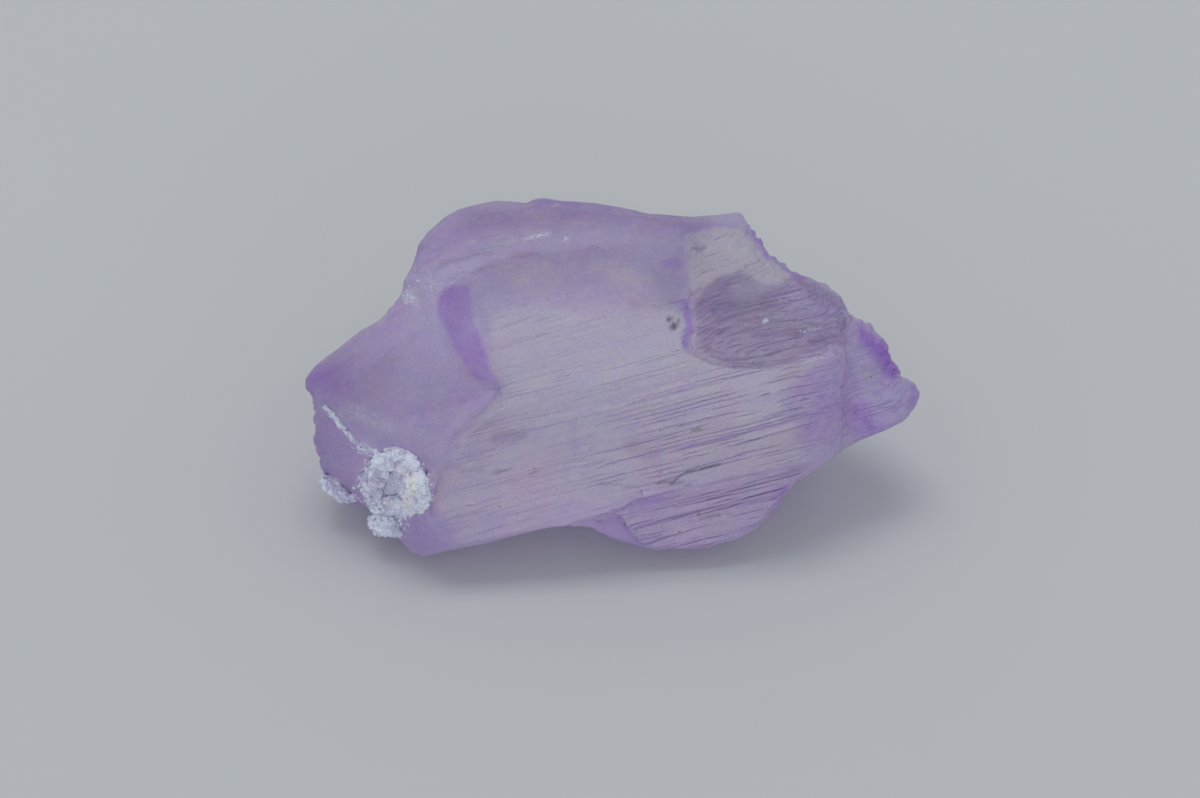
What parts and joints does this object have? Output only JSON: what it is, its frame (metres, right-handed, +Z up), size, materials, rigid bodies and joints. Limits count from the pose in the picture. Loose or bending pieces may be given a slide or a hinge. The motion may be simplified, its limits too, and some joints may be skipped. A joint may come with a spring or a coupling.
{
  "type": "kunzite crystal",
  "caption": "Rough, naturally etched piece of lilac kunzite, see-through and striated along its length, with a white feldspar crust at one end, lying on a flat cleavage.",
  "frame": {"origin": "on the surface that the stone rests on, under the centre of its bounding box", "axes": "+X along the stone's length, from the crusted end to the two knobs; +Y from the leaning broad front to the back; +Z up"},
  "size_m": [0.0462, 0.0236, 0.0212],
  "materials": {
    "kunzite": "clear lilac crystal with an etched, frosted skin; deeper violet in the thick walls and at both ends",
    "feldspar": "chalky white, granular"
  },
  "bodies": {
    "root": {"kunzite_crystal": "kunzite", "feldspar_crust_ring": "feldspar", "feldspar_crust_foot": "feldspar", "feldspar_crust_corner": "feldspar", "feldspar_vein": "feldspar"}
  },
  "joints": []
}
